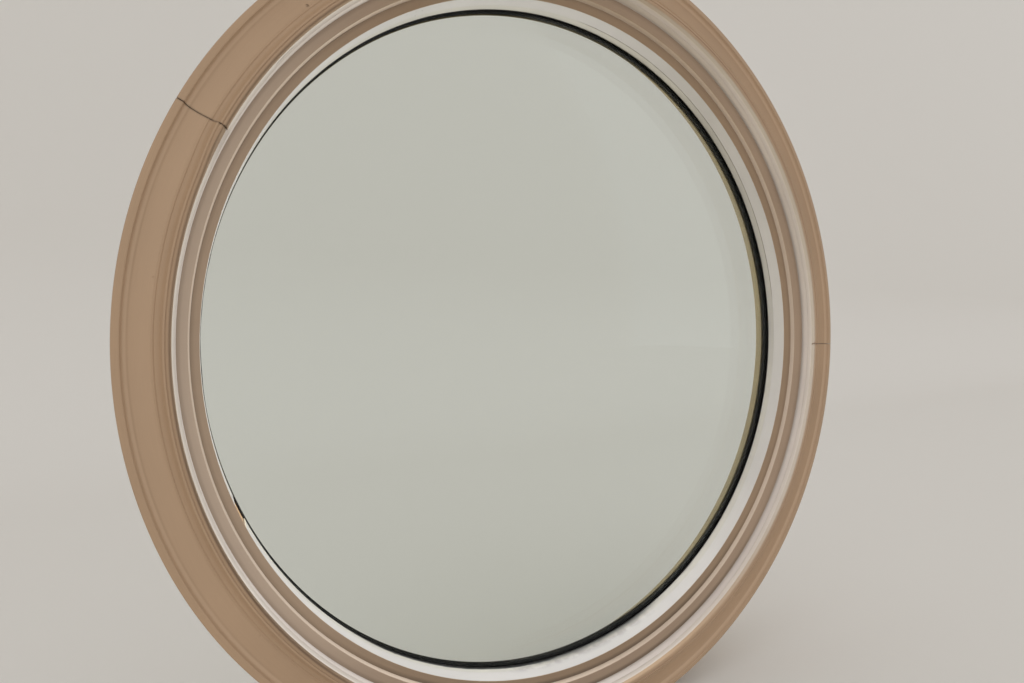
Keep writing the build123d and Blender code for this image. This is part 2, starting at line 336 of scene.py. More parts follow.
casingLook = {
    "tan": (0.388, 0.262, 0.166), "rawPale": (0.55, 0.38, 0.22), "rawDark": (0.38, 0.24, 0.13),
    "quirk": (0.16, 0.07, 0.04), "quirkR": (609.4, 610.9, 0.35), "quirkY": (-131.9, -130.4),
    "quirkLeast": 0.04, "quirkDarkAt": (15, 75, 18), "quirkDark": 0.22, "quirkMottle": 0.16,
    "step": (0.50, 0.355, 0.24), "stepR": (647.5, 652.6, 1.0), "stepLightShare": 0.7,
    "paleFieldX": (0.40, 0.60), "paleFieldR": (624, 646, 1.5), "paleFieldShare": 0.3,
    "noseR": (608.3, 609.3), "noseShade": (0.10, 0.055, 0.028), "shadeX": (0.10, 0.50),
    "shadeZ": (-0.30, 0.10), "shadeY": (-131.9, -130.6), "shadeShare": 0.88,
    "nosePale": (0.46, 0.39, 0.33), "paleX": (0.05, 0.45), "paleY": (-132.0, -127.5),
    "grimeAndShade": (0.13, 0.09, 0.06), "leftJointAt": (154.25, 154.55, 0.06), "leftJointShare": 0.45,
    "rightJointAt": (-0.88, -0.72, 0.05), "rightJointShare": 0.85,
    "chip": (0.24, 0.12, 0.08), "chipAt": (-1.15, -0.45, 0.12), "chipR": (603.5, 610.5, 1.0),
    "pocketY": (-118.6, -117.9), "pocketFromR": (612.0, 612.6), "pocketToR": (651.6, 652.2),
    "landingY": (-116.25, -116.05)}


def casingPaint():
    look, m = casingLook, Recipe("casing_paint_tan")
    colour, rough, height = paintBase(m, look["tan"])
    # painted shade in the quirk groove, strongest at the upper right, with a little mottle
    quirkShade = m.within(m.radius, *look["quirkR"]) * (1 - m.rise(m.depth, *look["quirkY"]) * 0.3)
    upperRight = m.within(m.angle, *look["quirkDarkAt"]) * look["quirkDark"]
    mottle = m.noise(m.position, scale=9) * look["quirkMottle"]
    colour = m.tint(quirkShade * (look["quirkLeast"] + upperRight + mottle), colour, look["quirk"])
    # painted light on the rim's step face all round, and a painted highlight on the field at the left
    colour = m.tint(m.within(m.radius, *look["stepR"]) * look["stepLightShare"], colour, look["step"])
    fieldHighlight = m.rise(0 - m.x, *look["paleFieldX"]) * m.within(m.radius, *look["paleFieldR"])
    colour = m.tint(fieldHighlight * look["paleFieldShare"], colour, look["step"])
    nose = 1 - m.rise(m.radius, *look["noseR"])  # painted shade on the nose, darkest at the lower left, and painted daylight that makes it paler towards the right
    dark = m.rise(0 - m.x, *look["shadeX"]) * (1 - m.rise(m.z, *look["shadeZ"]) * 0.3)
    dark = nose * dark * m.rise(m.depth, *look["shadeY"]) * look["shadeShare"]
    colour = m.tint(dark, colour, look["noseShade"])
    daylit = m.rise(m.x + m.z * 0.3, *look["paleX"])
    colour = m.tint(nose * daylit * m.rise(m.depth, *look["paleY"]), colour, look["nosePale"])
    # painted shade in the two open joints
    leftJoint = m.within(m.angle, *look["leftJointAt"]) * look["leftJointShare"]
    rightJoint = m.within(m.angle, *look["rightJointAt"]) * look["rightJointShare"]
    colour = m.tint(leftJoint + rightJoint, colour, look["grimeAndShade"])
    chips = m.patches(480, 0.56, 0.62, detail=1)
    chips = chips * m.within(m.angle, *look["chipAt"]) * m.within(m.radius, *look["chipR"])
    colour = m.tint(chips, colour, look["chip"])
    pocket = m.rise(m.radius, *look["pocketFromR"]) * (1 - m.rise(m.radius, *look["pocketToR"]))
    pocket = m.rise(m.depth, *look["pocketY"]) * pocket
    bare = m.maths("MAXIMUM", pocket, m.rise(m.depth, *look["landingY"]))
    raw, grain = bareWood(m, look["rawPale"], look["rawDark"])
    return m.surface(*leaveBare(m, bare, (colour, rough, height), raw, grain, 0.78, 0.3))


def fillerPaint():
    m = Recipe("filled_nail_holes")
    colour, rough, height = paintBase(m, tuple(c * 0.97 for c in casingLook["tan"]))
    speck = m.noise(m.position, scale=700, detail=3)
    return m.surface(colour, rough + 0.05, height + speck * 0.25, strong=0.35)


caulkLook = {
    "paint": (0.54, 0.47, 0.415), "smear": (24, 0.5),
    "scratch": (0.12, 0.10, 0.08), "scratchAt": (141, 144.2, 0.7), "scratchY": (-119.6, -118.9, 0.3),
    "scratchShare": 0.75,
    "seam": (0.22, 0.16, 0.12), "seamR": (601.0, 602.0, 0.25), "seamY": (-118.5, -115.8, 0.5),
    "seamShare": 0.12}


def caulkPaint():
    look, m = caulkLook, Recipe("painted_caulk")
    colour, rough, height = paintBase(m, look["paint"])
    smear = m.noise(m.along(*look["smear"]), detail=3)
    scratch = m.within(m.angle, *look["scratchAt"]) * m.within(m.wander(45, 3), *look["scratchY"])
    colour = m.tint(scratch * look["scratchShare"], colour, look["scratch"])
    seam = m.within(m.radius, *look["seamR"]) * m.within(m.depth, *look["seamY"])
    colour = m.tint(seam * look["seamShare"] * m.rise(smear, 0.4, 0.6), colour, look["seam"])
    return m.surface(colour, rough - 0.04, height * 0.5 + smear * 0.5, strong=0.35)


jambLook = {
    "paint": (0.485, 0.417, 0.374), "pale": (0.62, 0.45, 0.27), "dark": (0.42, 0.27, 0.15),
    "dustAndShade": (0.20, 0.16, 0.13), "stopShadeY": (-109.5, -102), "stopShadeLeast": 0.16, "stopShadeRight": 0.36,
    "glueLine": (0.20, 0.12, 0.07), "layer": 4.0, "glueAt": (0.46, 0.54, 0.05), "glueShare": 0.7,
    "outsideR": (632.9, 633.3), "backY": (-0.5, -0.1), "underCasingR": (604.4, 604.9),
    "underCasingY": (-115.9, -115.6)}


def jambFinish():
    look, m = jambLook, Recipe("laminated_jamb")
    colour, rough, height = paintBase(m, look["paint"])
    dustAndShade = look["stopShadeLeast"] + m.rise(m.x, 0.0, 0.5) * look["stopShadeRight"]  # painted shade beside the stop, darkest on the right
    colour = m.tint(m.rise(m.depth, *look["stopShadeY"]) * dustAndShade, colour, look["dustAndShade"])
    raw, grain = bareWood(m, look["pale"], look["dark"])
    glue = m.within(m.maths("FRACT", m.radius / look["layer"]), *look["glueAt"])
    raw = m.tint(glue * look["glueShare"], raw, look["glueLine"])
    bare = m.rise(m.radius, *look["outsideR"]) + m.rise(m.depth, *look["backY"])
    underCasing = m.rise(m.radius, *look["underCasingR"]) * (1 - m.rise(m.depth, *look["underCasingY"]))
    bare = m.maths("MINIMUM", bare + underCasing, 1.0)
    return m.surface(*leaveBare(m, bare, (colour, rough, height), raw, grain))


stopLook = {
    "face": (0.47, 0.365, 0.285), "leftX": (0.30, 0.55), "line": (0.10, 0.065, 0.04),
    "cornerR": (5.5, 1.0), "cornerLeast": 0.22, "cornerLow": 0.40, "lowAt": (-125, -50, 16), "lowSlope": 0.18,
    "outer": {"tone": (0.35, 0.25, 0.175), "behindR": jambInner, "faceY": (-91.9, -91.2), "leftPale": 0.75},
    "inner": {"tone": (0.30, 0.205, 0.13), "behindR": 587.7, "faceY": (-75.0, -74.3), "leftPale": 0.3},
    "rawPale": (0.42, 0.27, 0.155), "rawDark": (0.27, 0.16, 0.085), "bareFromR": (577.6, 578.2),
    "bareToR": (579.0, 579.6), "bareY": (-75.0, -74.4), "endsShare": 0.7,
    "endsAt": ((-159.25, -158.85, 0.1), (-156.25, -156.0, 0.08))}


def stopPaint(which):  # paint of a stop, with painted shade in the inside corner and on the slope, most at the bottom
    look, own, m = stopLook, stopLook[which], Recipe(which + "_stop_paint")
    colour, rough, height = paintBase(m, own["tone"])
    # painted daylight: paler towards the left
    colour = m.tint(m.rise(0 - m.x, *look["leftX"]) * own["leftPale"], colour, look["face"])
    face = m.rise(m.depth, *own["faceY"])
    low = m.within(m.angle, *look["lowAt"])
    corner = m.rise(m.radius, *(own["behindR"] - mm for mm in look["cornerR"]))
    dustAndShade = corner * (look["cornerLeast"] + low * look["cornerLow"]) + low * (1 - face) * look["lowSlope"]
    return m, face, m.tint(dustAndShade, colour, look["line"]), rough, height


def outerStopPaint():
    m, face, colour, rough, height = stopPaint("outer")
    return m.surface(m.tint(face, colour, stopLook["face"]), rough, height)  # painted light: the face paler than the slope


def innerStopPaint():
    look = stopLook
    m, _, *painted = stopPaint("inner")
    raw, grain = bareWood(m, look["rawPale"], look["rawDark"], across=3)
    bare = m.rise(m.radius, *look["bareFromR"]) * m.rise(m.depth, *look["bareY"])  # under the thin strips
    bare = bare * (1 - m.rise(m.radius, *look["bareToR"]))
    colour, rough, height = leaveBare(m, bare, painted, raw, grain)
    # painted shade at both ends of the missing length of strip
    first, second = (m.within(m.angle, *end) for end in look["endsAt"])
    return m.surface(m.tint(bare * (first + second) * look["endsShare"], colour, look["line"]), rough, height)


stripLook = {
    "lining": (0.405, 0.375, 0.36), "glazing": (0.385, 0.355, 0.315),
    "grimeAndShade": (0.24, 0.22, 0.21), "lowAt": (-102, -70, 6), "cloudLow": 0.75, "cloudLeast": 0.10,
    "cloudY": (-62, -46), "glassY": (-44, -36), "glassShare": 0.18,
    "shadedAt": (-6, 55, 8), "shadedY": (-49.4, -48.8), "shadedShare": 0.45,
    "gum": (0.014, 0.014, 0.015), "gumAt": (-130, -95, 5), "gumY": (-40.4, -39.0), "gumShare": 0.95,
    "smearAt": (-98, -68, 5), "smearY": (-49, -36), "smearShare": 0.8,
    "speck": (0.07, 0.05, 0.04), "speckAt": (117.5, 124, 0.8), "speckY": (-68, -37, 2), "speckShare": 0.9,
    "crack": (0.08, 0.05, 0.035), "crackAt": (10, 87, 2), "crackY": (-49.7, -48.6, 0.25), "crackShare": 0.7,
    "end": (0.85, 0.72, 0.52), "endAt": (-156.12, -155.85, 0.05), "endShare": 0.7}


def stripPaint(which):
    look, m = stripLook, Recipe(which + "_strip_paint")
    colour, rough, height = paintBase(m, look[which])
    cloud = m.patches(38, 0.38, 0.62, detail=4, rough=0.6)  # grey marks at the bottom, near the glass
    low = m.within(m.angle, *look["lowAt"]) * look["cloudLow"] + look["cloudLeast"]
    colour = m.tint(low * cloud * m.rise(m.depth, *look["cloudY"]), colour, look["grimeAndShade"])
    # darker next to the glass
    colour = m.tint(m.rise(m.depth, *look["glassY"]) * look["glassShare"], colour, look["grimeAndShade"])
    shaded = m.within(m.angle, *look["shadedAt"]) * m.rise(m.depth, *look["shadedY"])  # at the upper right
    colour = m.tint(shaded * look["shadedShare"], colour, look["grimeAndShade"])
    edge = m.wander(70, 3)
    gum = m.within(m.angle, *look["gumAt"]) * m.rise(edge, *look["gumY"])  # tape pressed over the strip
    smear = m.within(m.angle, *look["smearAt"]) * m.rise(edge, *look["smearY"])
    colour = m.tint(gum * look["gumShare"] + smear * look["smearShare"], colour, look["gum"])
    specks = m.patches(260, 0.70, 0.74, detail=1)
    specks = specks * m.within(m.angle, *look["speckAt"]) * m.within(m.depth, *look["speckY"])
    colour = m.tint(specks * look["speckShare"], colour, look["speck"])
    # painted shade in the open joint between the two strips
    crack = m.within(m.depth, *look["crackY"]) * m.within(m.angle, *look["crackAt"])
    colour = m.tint(crack * look["crackShare"], colour, look["crack"])
    colour = m.tint(m.within(m.angle, *look["endAt"]) * look["endShare"], colour, look["end"])
    return m.surface(colour, rough - 0.03, height)


# Tapes, foam, sealant, rubber and glass

darkLook = {  # darker and paler colour
    "butyl": ((0.006, 0.006, 0.006), (0.022, 0.020, 0.019)),
    "foam": ((0.003, 0.003, 0.003), (0.009, 0.008, 0.008)),
    "seal": ((0.016, 0.016, 0.017), (0.04, 0.04, 0.042)),
    "rubber": ((0.02, 0.02, 0.02), (0.055, 0.054, 0.052))}


def butylBlack():
    m = Recipe("black_butyl")
    lumps = m.noise(m.along(60, 2), detail=3)
    fine = m.noise(m.position, scale=1500)
    colour = m.tint(m.rise(lumps, 0.35, 0.7), *darkLook["butyl"])
    return m.surface(colour, 0.38 + lumps * 0.25, lumps * 0.7 + fine * 0.2, 0.5, 0.0005,
                     {"Specular IOR Level": 0.25})


def foamBlack():
    m = Recipe("spacer_foam")
    cells = m.noise(m.position, scale=2200, detail=2)
    colour = m.tint(m.patches(60, 0.45, 0.75) * 0.5, *darkLook["foam"])
    return m.surface(colour, 0.72 + cells * 0.2, cells, 0.5, 0.0002, {"Specular IOR Level": 0.1})


def sealDark():
    m = Recipe("edge_seal_dark")
    drag = m.noise(m.along(30, 1.2), detail=3)
    return m.surface(m.tint(drag, *darkLook["seal"]), 0.5 + drag * 0.2, drag, 0.4)


def rubberBlock():
    m = Recipe("block_rubber")
    grit = m.noise(m.position, scale=1300, detail=3)
    mould = m.noise(m.stretched(30, 900, 30), detail=2)
    return m.surface(m.tint(grit, *darkLook["rubber"]), 0.62 + grit * 0.2, grit * 0.5 + mould * 0.5)


glassLook = {"clear": (0.972, 0.984, 0.976), "gloss": (0.95, 0.97, 0.97), "bends": 1.5, "sheen": 0.06,
             "dustR": (540, 577), "dustShare": 0.008}


def paneGlass():  # thin clear sheet: mostly see-through, with a mirror sheen at a slant
    look, m = glassLook, Recipe("pane_glass")
    sheen = m.add("ShaderNodeFresnel", {}, {"IOR": look["bends"]}) * look["sheen"]
    dustAndShade = m.rise(m.radius, *look["dustR"]) * m.patches(14, 0.5, 0.8, detail=5, rough=0.65) * look["dustShare"]
    through = m.add("ShaderNodeBsdfTransparent", {}, {"Color": (*look["clear"], 1)})
    mirror = m.add("ShaderNodeBsdfGlossy", {}, {"Color": (*look["gloss"], 1), "Roughness": 0.0})
    return m.finish(m.add("ShaderNodeMixShader", {}, {0: sheen + dustAndShade, 1: through, 2: mirror}))


# Outside paint and metals

outsideLook = {
    "paint": (0.100, 0.073, 0.033), "kit": {**paintKit, "roughness": 0.58, "blotch": 0.12, "streak": 0.08},
    "chalk": (0.17, 0.135, 0.075), "chalkShare": 0.35,
    "dirt": (0.07, 0.055, 0.03), "dirtLeast": 0.12, "dirtLow": 0.3, "lowZ": (0.1, 0.6),
    "grooveY": (-15.6, -14.9, 0.3), "grooveShare": 0.4,
    "crackle": (0.05, 0.04, 0.025), "cracks": (60, 0.35), "crackWide": 0.03, "crackShare": 0.5,
    "lowBlack": (0.010, 0.009, 0.008), "lowBlackAt": (-158, -72, 7), "lowBlackY": (-13.4, -11.8), "lowBlackShare": 0.95}


def outsidePaint():
    look, m = outsideLook, Recipe("weathered_olive_paint")
    colour, rough, height = paintBase(m, look["paint"], look["kit"])
    chalk = m.patches(16, 0.48, 0.75, detail=5, rough=0.6)
    colour = m.tint(chalk * look["chalkShare"], colour, look["chalk"])
    dirt = look["dirtLeast"] + m.rise(0 - m.z, *look["lowZ"]) * look["dirtLow"]
    colour = m.tint(m.patches(28, 0.45, 0.7, detail=4) * dirt, colour, look["dirt"])
    crackle = m.add("ShaderNodeTexVoronoi", {"feature": "DISTANCE_TO_EDGE"},
                    {"Vector": m.along(*look["cracks"]), "Scale": 1.0})
    lines = (1 - m.rise(crackle, 0.0, look["crackWide"])) * m.patches(7, 0.55, 0.7)
    colour = m.tint(lines * look["crackShare"], colour, look["crackle"])
    # darker along the edge by the glass
    colour = m.tint(m.within(m.depth, *look["grooveY"]) * look["grooveShare"], colour, look["dirt"])
    lowBlack = m.within(m.angle, *look["lowBlackAt"])  # black along the glass, at the lower left
    lowBlack = lowBlack * (1 - m.rise(m.wander(50, 2), *look["lowBlackY"])) * look["lowBlackShare"]
    colour = m.tint(lowBlack, colour, look["lowBlack"])
    return m.surface(colour, rough + chalk * 0.12, height + (1 - lines) * 0.3, strong=0.35)


metalLook = {
    "steel": (0.10, 0.095, 0.09), "rust": (0.085, 0.035, 0.015), "steelMetallic": 0.75,
    "zincDark": (0.34, 0.35, 0.36), "zincPale": (0.52, 0.53, 0.54), "zincBloom": (0.62, 0.62, 0.60),
    "zincMetallic": 0.8,
    "millDark": (0.46, 0.47, 0.48), "millPale": (0.62, 0.63, 0.64), "millScuff": (0.72, 0.73, 0.74),
    "millMetallic": 0.9}


def steelNail():
    look, m = metalLook, Recipe("set_nail_steel")
    rust = m.patches(420, 0.42, 0.62, detail=4)
    scrape = m.noise(m.stretched(1800, 90, 1800), detail=2)
    return m.surface(m.tint(rust, look["steel"], look["rust"]), 0.42 + rust * 0.4, scrape * 0.4 + rust * 0.4,
                     others={"Metallic": look["steelMetallic"]})


def galvanised():
    look, m = metalLook, Recipe("galvanised_heads")
    spangle = m.add("ShaderNodeTexVoronoi", {}, {"Vector": m.position, "Scale": 900.0})
    bloom = m.patches(240, 0.45, 0.7)
    colour = m.tint(spangle * 0.6, look["zincDark"], look["zincPale"])
    colour = m.tint(bloom * 0.4, colour, look["zincBloom"])
    return m.surface(colour, 0.42 + bloom * 0.3, spangle * 0.3 + bloom * 0.3,
                     others={"Metallic": look["zincMetallic"]})


def millAluminium():
    look, m = metalLook, Recipe("mill_aluminium")
    roll = m.noise(m.along(4, 5), detail=5, rough=0.6)
    scuff = m.rise(m.noise(m.along(90, 1.5), detail=2), 0.62, 0.7)
    dull = m.patches(12, 0.4, 0.7, detail=4)
    colour = m.tint(roll * 0.6 + dull * 0.4, look["millDark"], look["millPale"])
    colour = m.tint(scuff * 0.4, colour, look["millScuff"])
    return m.surface(colour, 0.36 + dull * 0.16 + roll * 0.12, roll * 0.5 + scuff * 0.3, 0.2,
                     others={"Metallic": look["millMetallic"]})


materials = {
    "casing": casingPaint(), "filler": fillerPaint(), "caulk": caulkPaint(), "jamb": jambFinish(),
    "outerStop": outerStopPaint(), "innerStop": innerStopPaint(), "lining": stripPaint("lining"),
    "glazing": stripPaint("glazing"), "butyl": butylBlack(), "foam": foamBlack(), "seal": sealDark(),
    "block": rubberBlock(), "glass": paneGlass(), "outside": outsidePaint(), "nail": steelNail(),
    "galvanised": galvanised(), "fin": millAluminium(),
}
print("materials mixed:", len(materials))


# Casing: two moulded lengths that meet in two open joints

casing = {
    "leftJoint": 154.4, "rightJoint": -0.8, "leftGap": 1.1, "rightGap": 0.6, "fineBy": (0.03, 0.1, 0.25),
    "foot": 604.2, "pocket": (612.2, 652.0), "pocketY": -118.0, "front": -132.3, "edgeY": -131.3,
    "fieldRim": (645.6, -124.2), "fieldBead": (624.5, -125.3), "fieldSag": 1.3, "beadEnd": (621.5, -125.3),
    "crest": (613.0, -131.6), "quirk": (610.6, -131.5), "noseAt": (608.7, -127.6), "noseRound": 4.0,
    "wave": 0.14, "waveR": (606, 630), "bendY": (-124, -117), "flareTo": 161.0, "flare": 2.6,
    "flareR": (613, 646), "ragged": 0.16, "cutR": (603, 661), "shut": 0.35, "shutY": (-129, -117),
    "mmPerDegree": 11.518325,
    "nailAt": 626.4, "openHoles": ((58.2, 1.5, 0.10), (136.4, 2.0, 0.16)), "holeDeep": 3.4}


def casingOutline():
    left, right = casing["pocket"]
    face = softened([
        (casing["foot"], seatFace, 0), (left, seatFace, 0), (left, casing["pocketY"], 0),
        (right, casing["pocketY"], 0), (right, seatFace, 0), (trimOuter, seatFace, 0.3),
        (trimOuter, casing["edgeY"], 0.7), (659.9, casing["front"], 0.7),
        (652.7, casing["front"], 1.3), (651.3, -127.4, 2.2), (646.2, -124.4, 0)])  # the rim's step
    face += curvePoints(casing["fieldRim"], casing["fieldBead"], casing["fieldSag"], 14)
    face += curvePoints(casing["fieldBead"], casing["beadEnd"], -0.7, 8)
    face += curvePoints(casing["beadEnd"], casing["crest"], 1.4, 10)
    face += curvePoints(casing["crest"], casing["quirk"], -0.4, 6)
    face += softened([(*casing["quirk"], 0.15), (610.3, -130.8, 0.3), (609.3, -130.8, 0.3),
                      (609.0, -131.45, 0.25)])[4:-1]
    (r, y), size = casing["noseAt"], casing["noseRound"]
    return face + [(r - size * math.sin(t), y - size * math.cos(t)) for t in np.linspace(0, math.pi / 2, 9)]


def casingFaceAt(radius):  # depth of the moulded field at a radius
    (rimR, rimY), (beadR, beadY) = casing["fieldRim"], casing["fieldBead"]
    t = (rimR - radius) / (rimR - beadR)
    return rimY + (beadY - rimY) * t + 4 * casing["fieldSag"] * t * (1 - t)


def casingRipple(angle, radius):  # slow dips of a bent moulding, towards its back only
    return np.clip(casing["wave"] * waver01(angle, 11, 5, 23), 0, None) * ease(radius, *casing["waveR"])


def casingBend(start, flares, seed):
    wobble = np.random.default_rng(seed).uniform(-1, 1, 60)

    def bend(r, y, angle):
        front = 1 - ease(y, *casing["bendY"])
        y = y + casingRipple(angle, r) * front
        if flares:
            near = 1 - ease(angle, start, casing["flareTo"])
            r = r + casing["flare"] * near * (1 - ease(r, *casing["flareR"])) * front
        for column, inward in ((0, 1), (-1, -1)):  # uneven saw cuts that close towards the back
            rough = casing["ragged"] * np.interp(r[column], np.linspace(*casing["cutR"], len(wobble)), wobble)
            shut = ease(y[column], *casing["shutY"]) * casing["shut"]
            angle[column] = angle[column] + inward * (rough - shut) / casing["mmPerDegree"]
        return r, y, angle
    return bend


leftGap, rightGap = (math.degrees(casing[side] / 2 / trimOuter) for side in ("leftGap", "rightGap"))
lengths = {  # first angle, last angle, whether its start flares, seed of its ends
    "casing_upper": (casing["rightJoint"] + rightGap, casing["leftJoint"] - leftGap, False, 5),
    "casing_lower": (casing["leftJoint"] + leftGap, 360 + casing["rightJoint"] - rightGap, True, 6)}
for node, (start, end, flares, seed) in lengths.items():
    fine = [start + d for d in casing["fineBy"]] + [end - d for d in casing["fineBy"]]
    piece = sweep(f"{node}_dressed", casingOutline(), columnsBetween(start, end, extras=fine), False,
                  casingBend(start, flares, seed))
    if node == "casing_upper":
        face = casingFaceAt(casing["nailAt"])
        cutWith(piece, [plug(f"hole{i}", casing["nailAt"], at, radius, face - 6, face + casing["holeDeep"],
                             ragged=ragged, seed=20 + i)
                        for i, (at, radius, ragged) in enumerate(casing["openHoles"])])
    fitOut(piece, node, "casing")
print("casing moulded")


# Filler in the other nail holes, level with the paint

filler = {"radius": 1.75, "dome": 0.07, "proud": 0.01, "sunk": 1.0, "rings": 4, "sides": 20,
          "angles": (19.1, 97.3, 172.4, 214.6, 256.8, 299.0, 341.2)}
rings, sides = filler["rings"], filler["sides"]
points, faces = [], []
for at in filler["angles"]:
    base, turn = len(points), math.radians(at)
    for ring in range(rings + 1):
        rho = filler["radius"] * ring / rings
        for side in range(sides if ring else 1):  # the middle is one point
            spin = 2 * math.pi * side / sides
            r, across = casing["nailAt"] + rho * math.cos(spin), rho * math.sin(spin)
            lift = filler["dome"] * (1 - (ring / rings) ** 2) + filler["proud"]
            sunk = filler["sunk"] if ring == rings else 0
            points.append(placed(turn, r, across, casingFaceAt(r) + float(casingRipple(at, r)) - lift + sunk))
    for side in range(sides):
        a, b = base + 1 + side, base + 1 + (side + 1) % sides
        faces.append((base, a, b))
        for ring in range(rings - 1):
            faces.append((a, a + sides, b + sides, b))
            a, b = a + sides, b + sides
    last = base + 1 + (rings - 1) * sides
    faces.append(tuple(last + side for side in range(sides - 1, -1, -1)))
fitOut(makePiece("nail_fillers_dressed", points, faces), "nail_fillers", "filler")


# Caulk: a finger-smoothed hollow between casing and jamb

caulk = {"top": (604.5, -123.0), "foot": (601.45, seatFace), "behind": 604.15, "hollow": (0.5, 0.1),
         "steps": 8, "wander": 0.35, "liftFrom": -116.3, "liftOver": 6.7}


def caulkBend(r, y, angle):
    joint = casing["leftJoint"]
    near = (1 - ease(angle, joint, casing["flareTo"])) * ease(angle, joint - 0.2, joint)
    lift = np.clip((caulk["liftFrom"] - y) / caulk["liftOver"], 0, 1)
    r = r + casing["flare"] * near * lift  # follows the flare of the casing
    return r, y + caulk["wander"] * lift * waver01(angle, 31, 9, 40), angle


top, foot, hollow = (np.array(caulk[key]) for key in ("top", "foot", "hollow"))
caulkOutline = [tuple(top + (foot - top) * k + hollow * 4 * k * (1 - k))
                for k in np.arange(caulk["steps"]) / caulk["steps"]]
caulkOutline += [caulk["foot"], (caulk["behind"], seatFace)]
dress("caulk_bead", caulkOutline, "caulk", caulkBend)
print("caulk smoothed")


# Jamb

jamb = {"back": 0.0, "arris": 0.5, "wave": 0.10, "waveR": (603, 612)}


def jambBend(r, y, angle):
    return r + jamb["wave"] * (1 - ease(r, *jamb["waveR"])) * waver01(angle, 41, 4, 19), y, angle


jambOutline = softened([(jambInner, seatFace, jamb["arris"]), (jambOuter, seatFace, 0.3),
                        (jambOuter, jamb["back"], 0.4), (jambInner, jamb["back"], 0.4)])
dress("round_jamb", jambOutline, "jamb", jambBend)


# The two sloped stops

stops = {"wave": 0.18, "waveY": (-75, -60), "arris": 0.5, "meetY": -83.4,
         "outerTop": -101.7, "outerFace": (589.2, -92.0), "outerIn": 587.75,
         "innerOut": 587.7, "innerFace": (577.1, -75.1), "rabbet": (578.55, -74.3)}


def outerStopBend(r, y, angle):
    return r + stops["wave"] * (1 - ease(y, *stops["waveY"])) * waver01(angle, 51, 4, 17), y, angle


outerStop = softened([(jambInner, glassFace, 0), (jambInner, stops["outerTop"], 0.1),
                      (*stops["outerFace"], stops["arris"]), (stops["outerIn"], stops["meetY"], 0.2),
                      (stops["outerIn"], glassFace, 0)])
dress("outer_stop", outerStop, "outerStop", outerStopBend)
rabbetR, rabbetY = stops["rabbet"]
innerStop = softened([(stops["innerOut"], glassFace, 0), (stops["innerOut"], stops["meetY"], 0.1),
                      (*stops["innerFace"], stops["arris"]), (stops["innerFace"][0], rabbetY, 0.15),
                      (rabbetR, rabbetY, 0), (rabbetR, glassFace, 0)])
dress("inner_stop", innerStop, "innerStop")
print("jamb and stops set")


# Thin strips of the reveal, with a short length missing

strips = {
    "inner": 577.05, "outer": 578.5, "front": -74.3, "joint": -49.0, "rows": 12, "wave": 0.12,
    "missingAt": 202.4, "missingLong": 30.2, "slant": 6.0, "sawn": ((0, 0.015, 3.3), (-1, 0.02, 2.1)),
    "lap": 0.3, "closed": 0.06,
    "nickAt": 84.3, "nickWide": 1.1, "nickHalf": 0.25,
    "gaps": ((0.5, 65, (-26, -18), (18, 26)), (0.25, 26, (-18, -12), (12, 20)))}  # mm, middle, opens, closes


def stripGap(angle):  # width of the joint between the two strips, in mm
    wide, some = (mm * ease(awayFrom(angle, at), *opens) * (1 - ease(awayFrom(angle, at), *closes))
                  for mm, at, opens, closes in strips["gaps"])
    nick = strips["nickWide"] * hump(awayFrom(angle, strips["nickAt"]), strips["nickHalf"])
    return strips["closed"] + np.maximum(wide, some) + nick + 0.05 * waver(angle, 61, 8, 30)


def stripBend(front, back):
    def bend(r, y, angle):
        if back < glassFace:  # the lining strip's far edge draws back from the joint
            gap = np.clip(stripGap(angle), 0.05, None)
            y = np.where(y > (front + back) / 2, y + strips["lap"] - gap, y)
        r = r + strips["wave"] * waver01(angle, 71, 3, 15) * (r < 577.8)
        slope = math.degrees(strips["slant"] / strips["inner"]) / (glassFace - strips["front"])
        angle[-1] = angle[-1] - (y[-1] - strips["front"]) * slope  # the upper end is cut at a slant
        for column, much, often in strips["sawn"]:  # neither end is cut quite true
            angle[column] = angle[column] + much * np.sin(y[column] * often)
        return r, y, angle
    return bend


halfMissing = math.degrees(strips["missingLong"] / 2 / strips["inner"])
lastColumn = 360 + strips["missingAt"] - halfMissing
nearNick = np.arange(strips["nickAt"] + 359.5, strips["nickAt"] + 360.5, 0.08)
stripColumns = columnsBetween(strips["missingAt"] + halfMissing, lastColumn - 0.7, extras=nearNick)
stripColumns = np.append(stripColumns, lastColumn)
for which, front, back in (("lining", strips["front"], strips["joint"] - strips["lap"]),
                           ("glazing", strips["joint"], glassFace)):
    rows = np.arange(strips["rows"] + 1) / strips["rows"]
    inner = [(strips["inner"], front + (back - front) * k) for k in rows]
    outer = [(strips["outer"], back + (front - back) * k) for k in rows]
    dress(f"{which}_strip", inner + outer, which, stripBend(front, back), stripColumns, False)
print("strips laid")


# Tape, spacer and glass

panes = {"radius": 595.0, "ground": 0.5, "edge": 594.98, "rings": 6, "step": 1.0,
         "inner": (-34.0, -30.8), "outer": (-21.3, -18.1)}
tape = {"lip": 576.9, "lipFront": -35.6, "lipBack": -34.02, "seat": 577.6,
        "mean": 0.45, "slow": 0.3, "fast": 0.15, "least": 0.08, "most": 1.4,
        "lumps": ((18, 2.2, 0.9), (35, 2.6, 0.8), (50, 2.0, 0.9), (303, 2.4, 0.9), (348, 2.6, 0.8),
                  (8, 5, -0.4))}  # at, half width, mm


def squeeze(angle):  # how far the black tape stands out of the joint
    out = tape["mean"] + tape["slow"] * waver(angle, 81, 12, 60) + tape["fast"] * waver(angle, 82, 40, 120)
    for at, half, much in tape["lumps"]:
        out = out + much * hump(awayFrom(angle, at), half)
    return np.clip(out, tape["least"], tape["most"])


def tapeBend(r, y, angle):
    lip = (r < 577.2).astype(float)
    return r - lip * squeeze(angle) * (0.35 + 0.65 * ease(y, -36.2, -34.4)), y, angle


